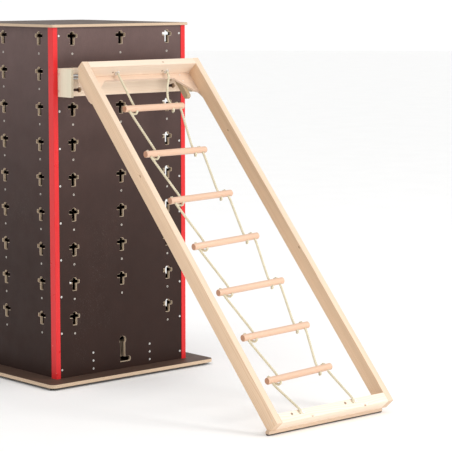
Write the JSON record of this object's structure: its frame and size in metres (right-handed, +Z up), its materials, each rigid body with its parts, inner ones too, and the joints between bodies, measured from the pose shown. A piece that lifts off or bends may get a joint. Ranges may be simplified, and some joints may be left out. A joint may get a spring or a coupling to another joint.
{
  "type": "climbing ladder set",
  "caption": "Slotted play tower with a hooked wall bracket and an inclined wooden frame that holds a rope ladder with round rungs.",
  "frame": {"origin": "bottom centre of the whole set's bounding box, on the floor", "axes": "+Z up, +X across the ladder to the viewer's right, +Y from the ladder's foot towards the tower"},
  "size_m": [0.91, 2.1742, 1.5383],
  "materials": {
    "brown_film_ply": "film-faced plywood, dark brown, satin, pale veneer edges",
    "red_paint": "red lacquered wood, satin",
    "pine": "planed pine, clear matt lacquer",
    "birch_ply": "birch plywood, clear matt lacquer",
    "beech": "turned beech, clear lacquer",
    "natural_rope": "twisted three-strand rope, matt",
    "black_rubber": "dark rubber, matt",
    "dark_plug": "brown screw cover caps",
    "zinc_steel": "zinc-plated steel"
  },
  "bodies": {
    "tower": {"base_plate": "brown_film_ply", "base_pads": "black_rubber", "base_plate_screws": "zinc_steel", "top_plate": "brown_film_ply", "top_plate_screws": "zinc_steel", "front_panel": "brown_film_ply", "back_panel": "brown_film_ply", "left_panel": "brown_film_ply", "right_panel": "brown_film_ply", "post_front_left": "red_paint", "post_front_right": "red_paint", "post_back_left": "red_paint", "post_back_right": "red_paint", "batten_front_left": "pine", "batten_front_right": "pine", "batten_back_left": "pine", "batten_back_right": "pine", "floor_cleat_left": "pine", "floor_cleat_right": "pine", "cleat_rail": "pine", "panel_screws_front": "zinc_steel", "panel_screws_back": "zinc_steel", "panel_screws_left": "zinc_steel", "panel_screws_right": "zinc_steel", "inserts_front": "zinc_steel", "inserts_back": "zinc_steel", "inserts_left": "zinc_steel", "inserts_right": "zinc_steel"},
    "wall_bracket": {"bracket_board": "pine", "bracket_cheek_left": "birch_ply", "bracket_cheek_right": "birch_ply", "hook_bar": "zinc_steel", "bracket_pegs": "zinc_steel", "bracket_screws": "zinc_steel"},
    "ladder_frame": {"stile_left": "pine", "stile_right": "pine", "top_rail": "pine", "bottom_rail": "pine", "arch_board": "pine", "hook_plate_left": "birch_ply", "hook_plate_right": "birch_ply", "foot_bar": "pine", "foot_strip": "black_rubber", "frame_screws": "zinc_steel", "frame_plugs": "pine", "arch_screws": "zinc_steel", "hook_screws": "zinc_steel", "rope_ferrules": "zinc_steel", "rope_lock_screws": "zinc_steel", "screw_covers": "dark_plug"},
    "rope_ladder": {"rung_1": "beech", "rung_2": "beech", "rung_3": "beech", "rung_4": "beech", "rung_5": "beech", "rung_6": "beech", "rung_7": "beech", "rope_left": "natural_rope", "rope_right": "natural_rope"}
  },
  "joints": [
    {"name": "bracket_unhook", "type": "slide", "parent": "tower", "child": "wall_bracket", "axis": [0, 0, 1], "range_m": [0, 0.0275]},
    {"name": "ladder_lift", "type": "hinge", "parent": "wall_bracket", "child": "ladder_frame", "pos_m": [0, 0.19715, 1.319], "axis": [-1, 0, 0], "range_deg": [0, 40]},
    {"name": "rope_ladder_give", "type": "slide", "parent": "ladder_frame", "child": "rope_ladder", "axis": [0, -0.7455, 0.6665], "range_m": [-0.045, 0.03], "stiffness_N_per_m": 8000, "deforming": ["rope_left", "rope_right"]}
  ]
}
